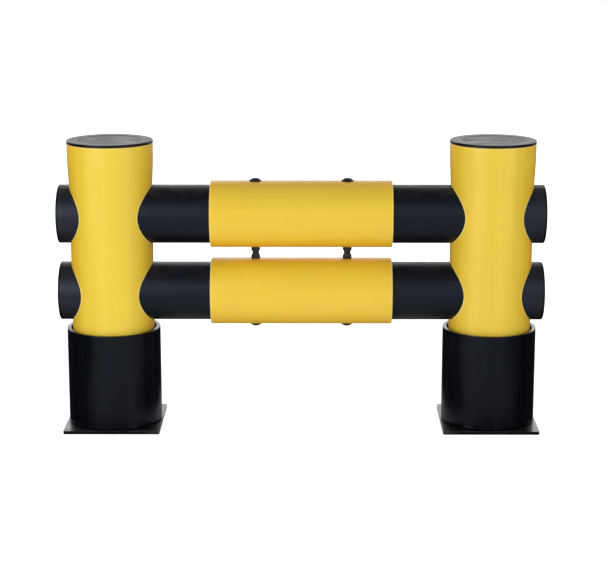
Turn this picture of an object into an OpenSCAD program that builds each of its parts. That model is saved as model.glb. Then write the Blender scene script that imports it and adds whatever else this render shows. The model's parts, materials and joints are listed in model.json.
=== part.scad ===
// Double-rail traffic guard made of plastic pipe
// Two flared posts stand over steel spigots on anchored base plates. Two pairs of rails pass
// through the posts and meet in the middle, where a bolted sleeve joins each pair.
// Lengths are millimetres. The origin is on the floor midway between the posts, X runs along
// the rails and Z points up.

/* [Posts] */
// Distance between the axes of the two posts
post_spacing = 910; // [800:10:1500]
// How far the post stands above the top of the upper rail
post_above = 102; // [80:1:300]
// Outer radius of the post along its straight part
post_r = 98.5; // [95:0.5:104]
// Wall thickness of the post tube
post_wall = 11.9; // [8:0.1:14]
// How much wider the post's mouth is than its straight part, on the radius
post_flare = 3.6; // [0.5:0.1:5]
// Height over which the post widens
flare_len = 105; // [60:5:120]
// Straight length of the mouth above the flare
mouth_len = 23; // [15:1:40]
// Chamfer on the post's upper edge
post_chamfer = 1; // [0.5:0.1:2]

/* [Rails] */
// Outer diameter of a rail
rail_d = 140; // [120:1:146]
// Wall thickness of a rail
rail_wall = 8.3; // [5:0.1:11]
// Space between the base ring's rim and the lower rail
rail_ring_space = 18; // [5:1:120]
// How far a rail reaches past the post's straight side, end cap included
rail_overhang = 26.5; // [15:0.5:80]
// Running gap round a rail in its hole in the post
rail_hole_gap = 0.4; // [0.2:0.1:0.9]
// Gap between the two rails that meet in a sleeve
rail_joint_gap = 2; // [1:0.5:10]

/* [Sleeves] */
// Length of a sleeve
sleeve_len = 434; // [320:2:520]
// Wall thickness of a sleeve
sleeve_wall = 9.5; // [7:0.1:11]
// Running gap between a sleeve and its rails
sleeve_gap = 0.5; // [0.2:0.1:0.9]
// Chamfer on the sleeve's end edges
sleeve_chamfer = 1.5; // [0.5:0.1:3]

/* [Coupling bolts] */
// Distance between the two bolts of one sleeve
bolt_spread = 220; // [100:2:280]
// Diameter of the bolt's shank
bolt_d = 12; // [10:1:13]
// Diameter of the domed head
bolt_head_d = 30.6; // [26:0.2:36]
// Height of the domed head
bolt_head_h = 7.4; // [6:0.2:9]
// Diameter of the small flat on top of the head
bolt_crown_d = 8; // [4:0.5:12]
// Length of the square neck under the head
bolt_neck_len = 6.5; // [4:0.5:7]
// Gap round the bolt in the walls that it passes through
bolt_hole_gap = 0.6; // [0.3:0.1:0.9]
// Depth of the flat seats cut in the sleeve under the head and the nut
bolt_seat = 0.7; // [0.3:0.1:1.2]
// Width of the lock nut across its flats
nut_af = 19; // [17:0.5:21]
// Height of the lock nut's hexagon
nut_hex_h = 9.4; // [8:0.2:11]
// Height of the lock nut's round collar
nut_collar_h = 4.6; // [2:0.2:5]
// Diameter of the collar where it leaves the hexagon
nut_collar_d = 17; // [15.5:0.5:18]
// How far the bolt's end stands out of its nut
bolt_end = 0.4; // [0.2:0.1:5]
// Space between the ends of two bolts that face each other
bolt_end_space = 0.6; // [0.5:0.1:60]

/* [Base plates and rings] */
// How far the square base plate reaches past the base ring on each side
plate_margin = 2.5; // [0.5:0.5:60]
// Thickness of the base plate
plate_t = 8; // [6:1:15]
// Corner radius of the base plate
plate_corner_r = 4; // [2:1:20]
// Height of the base ring above the plate
ring_h = 232; // [120:2:400]
// Wall thickness of the base ring
ring_wall = 10; // [6:0.5:14]
// Gap between the base ring and the post
ring_gap = 4; // [2:0.5:8]
// Rounding of the base ring's rim
ring_rim_r = 2; // [1.5:0.5:4.5]
// Chamfer at the base ring's foot
ring_foot = 4; // [1:0.5:5]
// Distance between neighbouring anchor holes, along each side of their square
anchor_pitch = 84; // [70:1:88]
// Diameter of an anchor hole
anchor_hole_d = 18; // [12:1:20]

/* [Spigots and tie rods] */
// Space between the steel spigot's top and the lower rail
spigot_space = 70; // [10:1:90]
// Wall thickness of the spigot
spigot_wall = 4.5; // [3:0.5:6]
// Gap between the spigot and the post's bore
spigot_gap = 2.45; // [1:0.05:4]
// Leg of the weld seam at the spigot's foot
spigot_weld = 5; // [2:0.5:6]
// Diameter of the tie rod
rod_d = 20; // [16:1:24]
// Gap round the tie rod in the rails' walls
rod_hole_gap = 0.8; // [0.4:0.1:2]
// Gap between the tie rod and the thread of its boss
rod_thread_gap = 0.15; // [0.1:0.05:0.3]
// Outer diameter of the boss that the tie rod screws into
boss_d = 36; // [32:1:44]
// Height of the boss
boss_h = 35; // [20:1:60]
// Diameter of the tie rod's washer
washer_d = 37; // [34:1:48]
// Thickness of the tie rod's washer
washer_t = 3; // [2:0.5:5]
// Width of the tie rod's nut across its flats
rod_nut_af = 30; // [28:1:36]
// Height of the tie rod's nut
rod_nut_h = 16; // [12:1:20]
// How far the tie rod stands out of its nut
rod_end = 6; // [2:1:10]
// Depth of the flat seat cut in the upper rail under the washer
rod_seat = 1; // [0.5:0.1:2]

/* [Caps] */
// Thickness of the post cap's disc
cap_t = 6.5; // [5:0.5:12]
// How far the post cap reaches past the post's mouth
cap_lip = 0.4; // [0:0.1:4]
// Rounding of the post cap's edge
cap_edge_r = 2; // [1:0.5:3]
// Diameter of the shallow round panel in the post cap's face
cap_panel_d = 152; // [60:2:170]
// Depth of the round panels in the caps' faces
cap_panel_depth = 0.6; // [0.5:0.1:2]
// Depth of the post cap's skirt in the post
cap_skirt_len = 30; // [15:1:40]
// Thickness of the rail cap's disc
rail_cap_t = 7; // [5:0.5:12]
// Rounding of the rail cap's edge
rail_cap_edge_r = 3; // [1:0.5:4]
// Diameter of the shallow round panel in the rail cap's face
rail_cap_panel_d = 104; // [40:2:110]
// Depth of the rail cap's skirt in the rail
rail_cap_skirt_len = 25; // [12:1:40]
// Wall thickness of the caps' skirts
skirt_wall = 3.5; // [2:0.5:5]
// Gap between a cap's skirt and the bore that it plugs
skirt_gap = 0.3; // [0.2:0.1:0.6]
// Thickness of the ribs behind a cap's disc
rib_t = 3; // [2:0.5:5]
// Depth of the ribs behind a cap's disc
rib_h = 10; // [5:1:12]
// Number of ribs behind a cap's disc
rib_count = 8; // [3:1:12]

/* [Hidden] */
$fn = 96;

// Amount by which a cutting tool passes the faces that it cuts
cut = 1;
// Space round a bolt head, nut or washer in its flat seat
seat_margin = 1;
// Number of steps in which the post's flare is drawn
flare_steps = 10;
// Number of steps in which a bolt head's dome is drawn
dome_steps = 8;
// Height of the upright edge of a bolt head
bolt_rim_h = 1.2;
// How far the corners of a coupling nut are turned back
nut_lead = 1.2;
// How far the corners of a tie rod's nut are turned back
rod_nut_lead = 2;
// Radius of the hub where a cap's ribs meet
rib_hub_r = 9;
// Radius of the hollow in the hub
rib_hub_bore_r = 4.5;
// Lead on the end of a cap's skirt
skirt_lead = 1;

// Rails and sleeves
rail_r = rail_d / 2;
rail_bore_r = rail_r - rail_wall;
rail_hole_r = rail_r + rail_hole_gap;
rail_end_x = post_spacing / 2 + post_r + rail_overhang;
sleeve_bore_r = rail_r + sleeve_gap;
sleeve_r = sleeve_bore_r + sleeve_wall;

// Coupling bolts, measured from the axis of the rail that they cross
seat_z = sleeve_r - bolt_seat;
nut_h = nut_hex_h + nut_collar_h;
bolt_hole_r = bolt_d / 2 + bolt_hole_gap;
bolt_neck_w = bolt_d;

// Heights: the lower rail clears the base ring, and the bolts' ends set the rails apart
rail_pitch = 2 * (seat_z + nut_h + bolt_end) + bolt_end_space;
rail_lower_z = plate_t + ring_h + rail_ring_space + rail_r;
rail_upper_z = rail_lower_z + rail_pitch;
post_top_z = rail_upper_z + rail_r + post_above;
post_len = post_top_z - plate_t;
spigot_h = ring_h + rail_ring_space - spigot_space;

// Posts and what fits in and round them
post_bore_r = post_r - post_wall;
mouth_r = post_r + post_flare;
mouth_bore_r = mouth_r - post_wall;
spigot_r = post_bore_r - spigot_gap;
spigot_bore_r = spigot_r - spigot_wall;
ring_bore_r = post_r + ring_gap;
ring_r = ring_bore_r + ring_wall;
ring_rim = min(ring_rim_r, 0.45 * ring_wall);
plate_side = 2 * (ring_r + plate_margin);

// Tie rods
rod_r = rod_d / 2;
rod_hole_r = rod_r + rod_hole_gap;
washer_z = rail_upper_z + rail_r - rod_seat;
rod_nut_z = washer_z + washer_t;
rod_top_z = rod_nut_z + rod_nut_h + rod_end;

// Outer radius of the post at height h above its foot: straight, then one smooth S up to the mouth
function ease(t) = t * t * (3 - 2 * t);
function flare_r(t) = post_r + post_flare * ease(t);
flare_foot = post_len - mouth_len - flare_len;
flare_points = [
    for (i = [0:flare_steps]) let (t = i / flare_steps) [flare_r(t), flare_foot + flare_len * t]
];

// Places its children at the left post (side -1) or the right post (side 1)
module at_post(side) {
    translate([side * post_spacing / 2, 0, 0])
        children();
}

// Turns its children, drawn on the right, to the left half (side -1) or leaves them (side 1)
module on_half(side) {
    rotate([0, 0, side < 0 ? 180 : 0])
        children();
}

// Places its children, drawn at a rail's axis, at the two bolts of one sleeve
module at_bolts(z) {
    for (side = [-1, 1])
        translate([side * bolt_spread / 2, 0, z])
            children();
}

// A cylinder along X, from x0 to x1
module x_cylinder(r, x0, x1) {
    translate([x0, 0, 0])
        rotate([0, 90, 0])
            cylinder(r = r, h = x1 - x0);
}

// A square with true round corners
module rounded_square(side, r) {
    inner = side - 2 * r;
    square([side, inner], center = true);
    square([inner, side], center = true);
    for (x = [-1, 1], y = [-1, 1])
        translate([x * inner / 2, y * inner / 2])
            circle(r);
}

// A hexagonal prism with corners along X, its corners turned to a cone at both ends
module hexagon(af, h, lead) {
    corner_r = af / 2 / cos(30);
    intersection() {
        cylinder(r = corner_r, h = h, $fn = 6);
        rotate_extrude()
            polygon([
                [0, 0], [corner_r - lead, 0], [corner_r, lead / 2],
                [corner_r, h - lead / 2], [corner_r - lead, h], [0, h]
            ]);
    }
}

// Base plate: a square of sheet steel with four anchor holes inside the spigot
module base_plate() {
    color("dimgray")
        linear_extrude(plate_t)
            difference() {
                rounded_square(plate_side, plate_corner_r);
                for (x = [-1, 1], y = [-1, 1])
                    translate([x * anchor_pitch / 2, y * anchor_pitch / 2])
                        circle(d = anchor_hole_d);
            }
}

// Base ring: a length of pipe round the post's foot, with a rounded rim and a chamfered foot
module base_ring() {
    color([0.1, 0.11, 0.13])
        translate([0, 0, plate_t])
            rotate_extrude() {
                polygon([
                    [ring_bore_r, 0], [ring_r - ring_foot, 0], [ring_r, ring_foot],
                    [ring_r, ring_h - ring_rim], [ring_bore_r, ring_h - ring_rim]
                ]);
                translate([ring_bore_r + ring_rim, ring_h - 2 * ring_rim])
                    square([ring_wall - 2 * ring_rim, 2 * ring_rim]);
                for (x = [ring_bore_r + ring_rim, ring_r - ring_rim])
                    translate([x, ring_h - ring_rim])
                        circle(ring_rim);
            }
}

// Spigot: a stub of steel tube that holds the post upright, welded to the plate on its inside
module post_spigot() {
    color("slategray")
        translate([0, 0, plate_t])
            rotate_extrude()
                polygon([
                    [spigot_bore_r - spigot_weld, 0], [spigot_r, 0], [spigot_r, spigot_h],
                    [spigot_bore_r, spigot_h], [spigot_bore_r, spigot_weld]
                ]);
}

// Boss: the threaded block on the plate that the tie rod screws into
module rod_boss() {
    color("slategray")
        translate([0, 0, plate_t])
            difference() {
                cylinder(d = boss_d, h = boss_h);
                translate([0, 0, -cut])
                    cylinder(r = rod_r + rod_thread_gap, h = boss_h + 2 * cut);
            }
}

// Post: a tube with a flared mouth and two pairs of holes that the rails pass through
module post() {
    color([0.89, 0.76, 0.25])
        difference() {
            translate([0, 0, plate_t])
                rotate_extrude()
                    polygon(concat(
                        [[post_bore_r, 0], [post_r, 0]],
                        flare_points,
                        [[mouth_r, post_len - post_chamfer], [mouth_r - post_chamfer, post_len]],
                        [[mouth_bore_r, post_len]],
                        [for (i = [flare_steps:-1:0]) flare_points[i] - [post_wall, 0]]
                    ));
            for (z = [rail_lower_z, rail_upper_z])
                translate([0, 0, z])
                    x_cylinder(rail_hole_r, -mouth_r - cut, mouth_r + cut);
        }
}

// A moulded cap: a disc with a rounded edge and a shallow panel, and a ribbed skirt that plugs a bore
module plug_cap(r, t, edge_r, panel_r, skirt_r, skirt_len) {
    difference() {
        rotate_extrude() {
            square([r, t - edge_r]);
            square([r - edge_r, t]);
            translate([r - edge_r, t - edge_r])
                circle(edge_r);
            translate([skirt_r - skirt_wall, -skirt_len])
                polygon([
                    [0, 0], [skirt_wall - skirt_lead, 0], [skirt_wall, 2 * skirt_lead],
                    [skirt_wall, skirt_len + cut], [0, skirt_len + cut]
                ]);
        }
        translate([0, 0, t - cap_panel_depth])
            cylinder(r = panel_r, h = cap_panel_depth + cut);
    }
    rotate_extrude()
        translate([rib_hub_bore_r, -rib_h])
            square([rib_hub_r - rib_hub_bore_r, rib_h + cut]);
    rib_start = (rib_hub_r + rib_hub_bore_r) / 2;
    for (i = [0:rib_count - 1])
        rotate([0, 0, i * 360 / rib_count])
            translate([rib_start, -rib_t / 2, -rib_h])
                cube([skirt_r - skirt_wall / 2 - rib_start, rib_t, rib_h + cut]);
}

// Post cap: closes the post's mouth
module post_cap() {
    color([0.16, 0.17, 0.19])
        translate([0, 0, post_top_z])
            plug_cap(mouth_r + cap_lip, cap_t, cap_edge_r, cap_panel_d / 2, mouth_bore_r - skirt_gap,
                cap_skirt_len);
}

// Rail cap: closes a rail's outer end
module rail_cap(z) {
    color([0.12, 0.12, 0.15])
        translate([rail_end_x - rail_cap_t, 0, z])
            rotate([0, 90, 0])
                plug_cap(rail_r, rail_cap_t, rail_cap_edge_r, rail_cap_panel_d / 2,
                    rail_bore_r - skirt_gap, rail_cap_skirt_len);
}

// Tie rod: runs down the post's axis, through both rails and into the boss
module tie_rod() {
    color("lightgray")
        translate([0, 0, plate_t])
            cylinder(r = rod_r, h = rod_top_z - plate_t);
}

// Washer on the upper rail, under the tie rod's nut
module tie_rod_washer() {
    color("lightgray")
        translate([0, 0, washer_z])
            difference() {
                cylinder(d = washer_d, h = washer_t);
                translate([0, 0, -cut])
                    cylinder(r = rod_r + rod_thread_gap, h = washer_t + 2 * cut);
            }
}

// Nut on top of the tie rod
module tie_rod_nut() {
    color("lightgray")
        translate([0, 0, rod_nut_z])
            difference() {
                hexagon(rod_nut_af, rod_nut_h, rod_nut_lead);
                translate([0, 0, -cut])
                    cylinder(r = rod_r + rod_thread_gap, h = rod_nut_h + 2 * cut);
            }
}

// Rail: one tube from the middle of the sleeve out to its end cap. The seat under the washer is
// cut in the upper rail alone, where the tie rod's nut pulls on it.
module rail(z, has_seat) {
    inner_x = rail_joint_gap / 2;
    outer_x = rail_end_x - rail_cap_t;
    color([0.12, 0.12, 0.15])
        translate([0, 0, z])
            difference() {
                x_cylinder(rail_r, inner_x, outer_x);
                x_cylinder(rail_bore_r, inner_x - cut, outer_x + cut);
                translate([bolt_spread / 2, 0, -rail_r - cut])
                    cylinder(r = bolt_hole_r, h = rail_d + 2 * cut);
                translate([post_spacing / 2, 0, -rail_r - cut])
                    cylinder(r = rod_hole_r, h = rail_d + 2 * cut);
                if (has_seat)
                    translate([post_spacing / 2, 0, rail_r - rod_seat])
                        cylinder(r = washer_d / 2 + seat_margin, h = rod_seat + cut);
            }
}

// Sleeve: a tube over the joint of two rails, bolted through. Heads are on the side that way
// points to, 1 for up and -1 for down, where the holes are square round the bolts' necks.
module sleeve(z, way) {
    neck_hole_w = bolt_neck_w + 2 * bolt_hole_gap;
    seat_r = bolt_head_d / 2 + seat_margin;
    color([0.89, 0.76, 0.24])
        translate([0, 0, z])
            difference() {
                rotate([0, 90, 0])
                    rotate_extrude()
                        polygon([
                            [sleeve_bore_r, -sleeve_len / 2],
                            [sleeve_r - sleeve_chamfer, -sleeve_len / 2],
                            [sleeve_r, sleeve_chamfer - sleeve_len / 2],
                            [sleeve_r, sleeve_len / 2 - sleeve_chamfer],
                            [sleeve_r - sleeve_chamfer, sleeve_len / 2],
                            [sleeve_bore_r, sleeve_len / 2]
                        ]);
                at_bolts(0) {
                    translate([0, 0, -sleeve_r - cut])
                        cylinder(r = bolt_hole_r, h = 2 * (sleeve_r + cut));
                    rotate([way > 0 ? 0 : 180, 0, 0])
                        translate([-neck_hole_w / 2, -neck_hole_w / 2, 0])
                            cube([neck_hole_w, neck_hole_w, sleeve_r]);
                    for (turn = [0, 180])
                        rotate([turn, 0, 0])
                            translate([0, 0, seat_z])
                                cylinder(r = seat_r, h = bolt_seat + cut);
                }
            }
}

// Coupling bolt, drawn at its rail's axis with its head up: domed head, square neck and shank
module coupling_bolt() {
    head_r = bolt_head_d / 2;
    crown_r = bolt_crown_d / 2;
    dome_h = bolt_head_h - bolt_rim_h;
    color([0.16, 0.15, 0.15])
        translate([0, 0, seat_z]) {
            rotate_extrude()
                polygon(concat(
                    [[0, 0], [head_r - bolt_rim_h / 2, 0], [head_r, bolt_rim_h / 2]],
                    [for (i = [0:dome_steps]) let (t = i / dome_steps)
                        [head_r + (crown_r - head_r) * t, bolt_rim_h + dome_h * sin(90 * t)]],
                    [[0, bolt_head_h]]
                ));
            translate([-bolt_neck_w / 2, -bolt_neck_w / 2, -bolt_neck_len])
                cube([bolt_neck_w, bolt_neck_w, bolt_neck_len + bolt_rim_h / 2]);
            translate([0, 0, -2 * seat_z - nut_h - bolt_end])
                cylinder(d = bolt_d, h = 2 * seat_z + nut_h + bolt_end);
        }
}

// Lock nut, drawn at its rail's axis below the rail: hexagon, then a collar that narrows downwards
module coupling_nut() {
    collar_r = nut_collar_d / 2;
    thread_r = bolt_d / 2 + rod_thread_gap;
    color([0.16, 0.15, 0.15])
        translate([0, 0, -seat_z])
            mirror([0, 0, 1])
                difference() {
                    union() {
                        hexagon(nut_af, nut_hex_h, nut_lead);
                        translate([0, 0, nut_hex_h - cut])
                            rotate_extrude()
                                polygon([
                                    [0, 0], [collar_r, 0], [collar_r, nut_collar_h / 2 + cut],
                                    [collar_r - nut_collar_h / 4, nut_collar_h + cut], [0, nut_collar_h + cut]
                                ]);
                    }
                    translate([0, 0, -cut])
                        cylinder(r = thread_r, h = nut_h + 2 * cut);
                }
}

// The four bolts, or nuts, of both sleeves: those of the upper sleeve as drawn, those of the
// lower one upside down, so that all the nuts stand in the gap between the sleeves
module both_sleeves() {
    at_bolts(rail_upper_z)
        children();
    at_bolts(rail_lower_z)
        rotate([180, 0, 0])
            children();
}

at_post(-1) base_plate();  // base_plate_left
at_post(1) base_plate();  // base_plate_right
at_post(-1) base_ring();  // base_ring_left
at_post(1) base_ring();  // base_ring_right
at_post(-1) post_spigot();  // post_spigot_left
at_post(1) post_spigot();  // post_spigot_right
at_post(-1) rod_boss();  // rod_boss_left
at_post(1) rod_boss();  // rod_boss_right
at_post(-1) post();  // post_left
at_post(1) post();  // post_right
at_post(-1) post_cap();  // post_cap_left
at_post(1) post_cap();  // post_cap_right
at_post(-1) tie_rod();  // tie_rod_left
at_post(1) tie_rod();  // tie_rod_right
for (side = [-1, 1]) at_post(side) tie_rod_washer();  // tie_rod_washers
for (side = [-1, 1]) at_post(side) tie_rod_nut();  // tie_rod_nuts
on_half(-1) rail(rail_upper_z, true);  // rail_upper_left
on_half(1) rail(rail_upper_z, true);  // rail_upper_right
on_half(-1) rail(rail_lower_z, false);  // rail_lower_left
on_half(1) rail(rail_lower_z, false);  // rail_lower_right
on_half(-1) rail_cap(rail_upper_z);  // rail_cap_upper_left
on_half(1) rail_cap(rail_upper_z);  // rail_cap_upper_right
on_half(-1) rail_cap(rail_lower_z);  // rail_cap_lower_left
on_half(1) rail_cap(rail_lower_z);  // rail_cap_lower_right
sleeve(rail_upper_z, 1);  // sleeve_upper
sleeve(rail_lower_z, -1);  // sleeve_lower
both_sleeves() coupling_bolt();  // coupling_bolts
both_sleeves() coupling_nut();  // coupling_nuts
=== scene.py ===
# Looks of a double-rail traffic guard made of plastic pipe
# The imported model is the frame. This script gives each of its pieces the finish of the real one,
# makes the fasteners with their threads and the weld beads, and sets up a plain studio.
# Lengths are metres, in the frame's own axes: X along the rails, Z up, origin on the floor.

import json
import math

import bpy
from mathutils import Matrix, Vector

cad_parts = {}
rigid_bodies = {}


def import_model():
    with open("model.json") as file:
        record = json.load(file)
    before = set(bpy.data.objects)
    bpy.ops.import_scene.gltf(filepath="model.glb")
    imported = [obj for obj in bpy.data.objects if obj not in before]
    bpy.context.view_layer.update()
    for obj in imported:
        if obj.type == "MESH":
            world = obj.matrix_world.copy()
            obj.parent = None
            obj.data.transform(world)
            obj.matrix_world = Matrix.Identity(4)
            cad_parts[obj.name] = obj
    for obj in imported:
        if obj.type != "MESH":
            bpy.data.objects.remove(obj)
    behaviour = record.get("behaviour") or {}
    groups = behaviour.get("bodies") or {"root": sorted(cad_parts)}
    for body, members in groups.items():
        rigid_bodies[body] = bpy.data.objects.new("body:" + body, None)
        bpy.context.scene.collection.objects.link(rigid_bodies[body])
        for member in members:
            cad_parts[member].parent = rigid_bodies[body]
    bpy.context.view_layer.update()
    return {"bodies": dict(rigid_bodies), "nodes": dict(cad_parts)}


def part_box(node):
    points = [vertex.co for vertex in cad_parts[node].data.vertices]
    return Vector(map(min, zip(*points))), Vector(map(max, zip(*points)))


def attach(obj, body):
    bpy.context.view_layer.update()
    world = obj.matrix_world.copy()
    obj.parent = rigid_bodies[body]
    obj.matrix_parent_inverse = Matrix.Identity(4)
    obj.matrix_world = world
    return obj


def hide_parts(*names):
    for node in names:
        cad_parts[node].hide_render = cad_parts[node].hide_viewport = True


bl_info = {
    "name": "Pipe guard rail finishes",
    "version": (1, 0, 0),
    "blender": (4, 5, 0),
    "location": "3D View > Sidebar > Guard rail",
    "description": "Finishes, fasteners, weld beads and studio of a plastic pipe guard rail",
    "category": "Object",
}

MM = 0.001
SIDES = ("left", "right")
LEVELS = ("upper", "lower")
# Axes of pipes
UPRIGHT = (0.0, 0.0, 1.0)
LEVEL = (1.0, 0.0, 0.0)
# Edges that bend more than this stay sharp in made parts
SHARP_BEND = math.radians(28)
# Points of a made part closer than this are one
MERGE_WITHIN = 0.000002
# What every light is aimed at
LIT_POINT = Vector((0.0, 0.0, 0.4))

for leftover in list(bpy.data.objects):
    bpy.data.objects.remove(leftover)

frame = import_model()
nodes = frame["nodes"]
ROOT = next(iter(frame["bodies"]))


# Places read from the frame
def middle(node):
    """The middle of a node's box."""
    low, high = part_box(node)
    return (low + high) / 2


post_x = abs(middle("post_left").x)
plate_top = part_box("base_plate_left")[1].z
rail_z = {level: middle(f"sleeve_{level}").z for level in LEVELS}
rail_mid_z = sum(rail_z.values()) / 2
rail_half_pitch = (rail_z["upper"] - rail_z["lower"]) / 2


# Node trees
class Value:
    """A node's output. Arithmetic on it adds Math nodes to its tree."""

    def __init__(self, socket):
        self.socket = socket
        self.tree = socket.id_data

    def __add__(self, other):
        return calc("ADD", self, other)

    def __sub__(self, other):
        return calc("SUBTRACT", self, other)

    def __rsub__(self, other):
        return calc("SUBTRACT", other, self)

    def __mul__(self, other):
        return calc("MULTIPLY", self, other)

    def __truediv__(self, other):
        return calc("DIVIDE", self, other)

    def __mod__(self, other):
        return calc("MODULO", self, other)

    def __gt__(self, other):
        return calc("GREATER_THAN", self, other)

    def __abs__(self):
        return calc("ABSOLUTE", self)


def tree_of(*terms):
    """The tree of the first Value among the terms."""
    return next(term.tree for term in terms if isinstance(term, Value))


def feed(socket, source):
    """Give an input its value, or link it to the Value that is given instead."""
    if isinstance(source, Value):
        source.tree.links.new(source.socket, socket)
    elif source is not None:
        socket.default_value = source


def add_node(tree, kind, inputs=None, **settings):
    """Add one node, set its own settings, and give its inputs their values or links."""
    node = tree.nodes.new(kind)
    for name, value in settings.items():
        setattr(node, name, value)
    for name, source in (inputs or {}).items():
        feed(node.inputs[name], source)
    return node


def made(tree, kind, inputs=None, output=0, **settings):
    """Add one node and return one of its outputs."""
    return Value(add_node(tree, kind, inputs, **settings).outputs[output])


def outputs(node):
    """A node's outputs by their names."""
    return {socket.name: Value(socket) for socket in node.outputs}


def calc(operation, *terms, kind="ShaderNodeMath", output=0):
    """A Math node on numbers and Values."""
    node = add_node(tree_of(*terms), kind, operation=operation)
    for socket, term in zip(node.inputs, terms):
        feed(socket, term)
    return Value(node.outputs[output])


def vector_calc(operation, *terms, output=0):
    """A Vector Math node on vectors and Values."""
    return calc(operation, *terms, kind="ShaderNodeVectorMath", output=output)


def remap(value, low, high, new_low=0.0, new_high=1.0, smooth=False):
    """A Map Range node, clamped at both ends."""
    return made(
        value.tree, "ShaderNodeMapRange",
        {"Value": value, "From Min": low, "From Max": high, "To Min": new_low, "To Max": new_high},
        "Result", interpolation_type="SMOOTHSTEP" if smooth else "LINEAR",
    )


def within(value, full, none):
    """1 up to full, then falling smoothly to 0 at none."""
    return remap(value, full, none, 1.0, 0.0, smooth=True)


def mix_colour(factor, first, second, blend="MIX"):
    """A Mix node for colours. Its colour sockets are found by their type."""
    tree = tree_of(factor, first, second)
    node = add_node(tree, "ShaderNodeMix", data_type="RGBA", blend_type=blend)
    colours = [socket for socket in node.inputs if socket.type == "RGBA"]
    for socket, source in zip((node.inputs[0], *colours), (factor, first, second)):
        feed(socket, source)
    return Value(next(socket for socket in node.outputs if socket.type == "RGBA"))


def split(vector):
    """The three parts of a vector."""
    node = add_node(vector.tree, "ShaderNodeSeparateXYZ", {"Vector": vector})
    return [Value(part) for part in node.outputs]


def join(x, y, z):
    """A vector from its three parts."""
    return made(tree_of(x, y, z), "ShaderNodeCombineXYZ", {"X": x, "Y": y, "Z": z})


def noise(vector, scale, detail=2.0, roughness=0.5):
    """The value of a Noise Texture."""
    inputs = {"Vector": vector, "Scale": scale, "Detail": detail, "Roughness": roughness}
    return made(vector.tree, "ShaderNodeTexNoise", inputs, "Fac")


def opaque(colour):
    """A colour of three parts with its alpha."""
    return (*colour[:3], 1.0)


def scaled(colour, amount):
    """A darker or lighter colour."""
    return tuple(min(1.0, part * amount) for part in colour[:3])


def node_group(kind, name, inputs, results, build):
    """A node group, built once. Inputs are (name, type, default) and results (name, type).
    build(tree, get) returns what feeds the results, in order, and get(name) is an input."""
    stored = bpy.data.node_groups.get(name)
    if stored is not None:
        return stored
    tree = bpy.data.node_groups.new(name, kind)
    for label, socket_type, default in inputs:
        socket = tree.interface.new_socket(label, in_out="INPUT", socket_type="NodeSocket" + socket_type)
        if default is not None:
            socket.default_value = default
    for label, socket_type in results:
        tree.interface.new_socket(label, in_out="OUTPUT", socket_type="NodeSocket" + socket_type)
    entry = tree.nodes.new("NodeGroupInput")
    leave = tree.nodes.new("NodeGroupOutput")
    for socket, source in zip(leave.inputs, build(tree, lambda label: Value(entry.outputs[label]))):
        feed(socket, source)
    return tree


# Shader groups, shared by the materials
def effect_group(name, inputs, results, build):
    """A shader group of numbers whose first input is the place that it works on."""
    inputs = [("Vector", "Vector", None), *inputs]
    return node_group("ShaderNodeTree", name, inputs, [(label, "Float") for label in results], build)


def use_group(tree, group, **values):
    """Place a shader group and return its outputs. An underscore in a value's name stands for a space."""
    inputs = {name.replace("_", " "): source for name, source in values.items()}
    return outputs(add_node(tree, "ShaderNodeGroup", inputs, node_tree=group))


def surface_normal(tree):
    """The true normal of the surface."""
    return made(tree, "ShaderNodeNewGeometry", output="Normal")


def edges_worn_and_highlit():
    """Where an edge lies: the rounded normal leaves the true one there. It marks rubbed edges, and on
    yellow pipe also a painted highlight.
    """

    def build(tree, get):
        rounded = made(tree, "ShaderNodeBevel", {"Radius": get("Width")}, samples=6)
        likeness = vector_calc("DOT_PRODUCT", rounded, surface_normal(tree), output="Value")
        edge = remap(likeness, get("From"), get("Full"), smooth=True)
        patches = remap(noise(get("Vector"), get("Patch Scale"), 3.0), 0.3, 0.62)
        return [edge * remap(get("Evenness"), 0.0, 1.0, patches, 1.0)]

    inputs = [("Width", "Float", 0.001), ("From", "Float", 0.985), ("Full", "Float", 0.8),
              ("Patch Scale", "Float", 60.0), ("Evenness", "Float", 0.5)]
    return effect_group("Edges, worn and highlit", inputs, ["Mask"], build)


def drawn_grain():
    """Fine lines that a die leaves along a pipe, and the broad dull and bright bands between them."""

    def build(tree, get):
        fine = noise(vector_calc("MULTIPLY", get("Vector"), get("Fine Stretch")), 1.0, 3.0, 0.6)
        broad = noise(vector_calc("MULTIPLY", get("Vector"), get("Broad Stretch")), 1.0)
        return [fine, broad]

    inputs = [("Fine Stretch", "Vector", (900.0, 900.0, 6.0)),
              ("Broad Stretch", "Vector", (60.0, 60.0, 1.5))]
    return effect_group("Drawn grain", inputs, ["Lines", "Bands"], build)


def mottling():
    """Slow cloudy change of shade, from -1 to 1, in two scales."""

    def build(tree, get):
        wide = noise(get("Vector"), get("Scale"))
        close = noise(get("Vector"), get("Scale") * 7.0, 3.0)
        return [remap(wide * 0.65 + close * 0.35, 0.3, 0.7, -1.0, 1.0)]

    return effect_group("Mottling", [("Scale", "Float", 6.0)], ["Value"], build)


def handling_scuffs():
    """Short fine scratches in two directions, gathered in patches."""

    def build(tree, get):
        strokes = []
        for turn, stretch in ((0.45, (14.0, 900.0, 900.0)), (-0.9, (900.0, 900.0, 22.0))):
            turned = made(
                tree, "ShaderNodeVectorRotate", {"Vector": get("Vector"), "Angle": turn},
                rotation_type="AXIS_ANGLE",
            )
            streak = noise(vector_calc("MULTIPLY", turned, stretch), 1.0, 1.0)
            strokes.append(remap(streak, 0.69, 0.74))
        patches = remap(noise(get("Vector"), get("Patch Scale")), 0.5, 0.7)
        return [calc("MAXIMUM", *strokes) * patches]

    return effect_group("Handling scuffs", [("Patch Scale", "Float", 9.0)], ["Mask"], build)


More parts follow.
